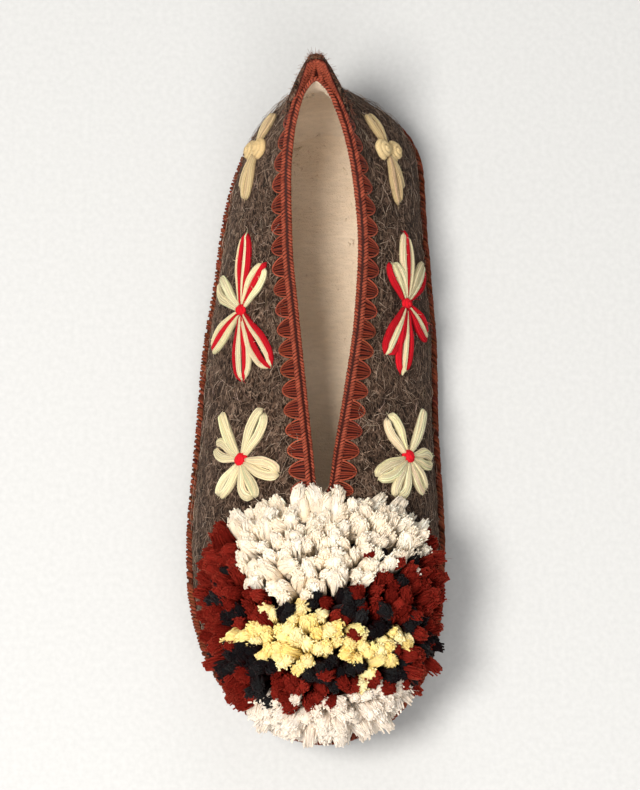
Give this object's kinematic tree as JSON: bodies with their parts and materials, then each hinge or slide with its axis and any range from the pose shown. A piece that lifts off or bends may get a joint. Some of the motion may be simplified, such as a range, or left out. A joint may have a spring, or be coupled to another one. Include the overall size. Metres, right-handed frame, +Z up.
{
  "type": "wool slipper",
  "caption": "Low wool slipper for the right foot: felt upper with a fleece-lined slit collar, scalloped braid, yarn flowers and a large yarn pompom on the toe.",
  "frame": {"origin": "middle of the slipper's box, on the floor", "axes": "+Z up, -Y towards the toe, +X towards the big-toe side of a right foot"},
  "size_m": [0.097, 0.2544, 0.089],
  "materials": {
    "felt": "hairy fulled wool, matte",
    "fleece": "short cream pile, matte",
    "sole": "brown suede, matte",
    "rust_yarn": "plied wool yarn, matte",
    "cream_yarn": "plied wool yarn, matte",
    "red_yarn": "plied wool yarn, matte",
    "yellow_yarn": "cut wool yarn, matte",
    "white_yarn": "cut wool yarn, matte"
  },
  "bodies": {
    "root": {"outsole": "sole", "insole": "fleece", "upper": "felt", "sole_seam": "rust_yarn", "collar_braid": "rust_yarn", "heel_tab": "rust_yarn", "flower_heel_lateral": "cream_yarn", "flower_heel_medial": "cream_yarn", "flower_side_lateral": "red_yarn", "flower_side_medial": "red_yarn", "flower_front_lateral": "cream_yarn", "flower_front_medial": "cream_yarn", "pompom_cream": "white_yarn", "pompom_yellow": "yellow_yarn", "pompom_white": "white_yarn", "pompom_rust": "rust_yarn"}
  },
  "joints": []
}
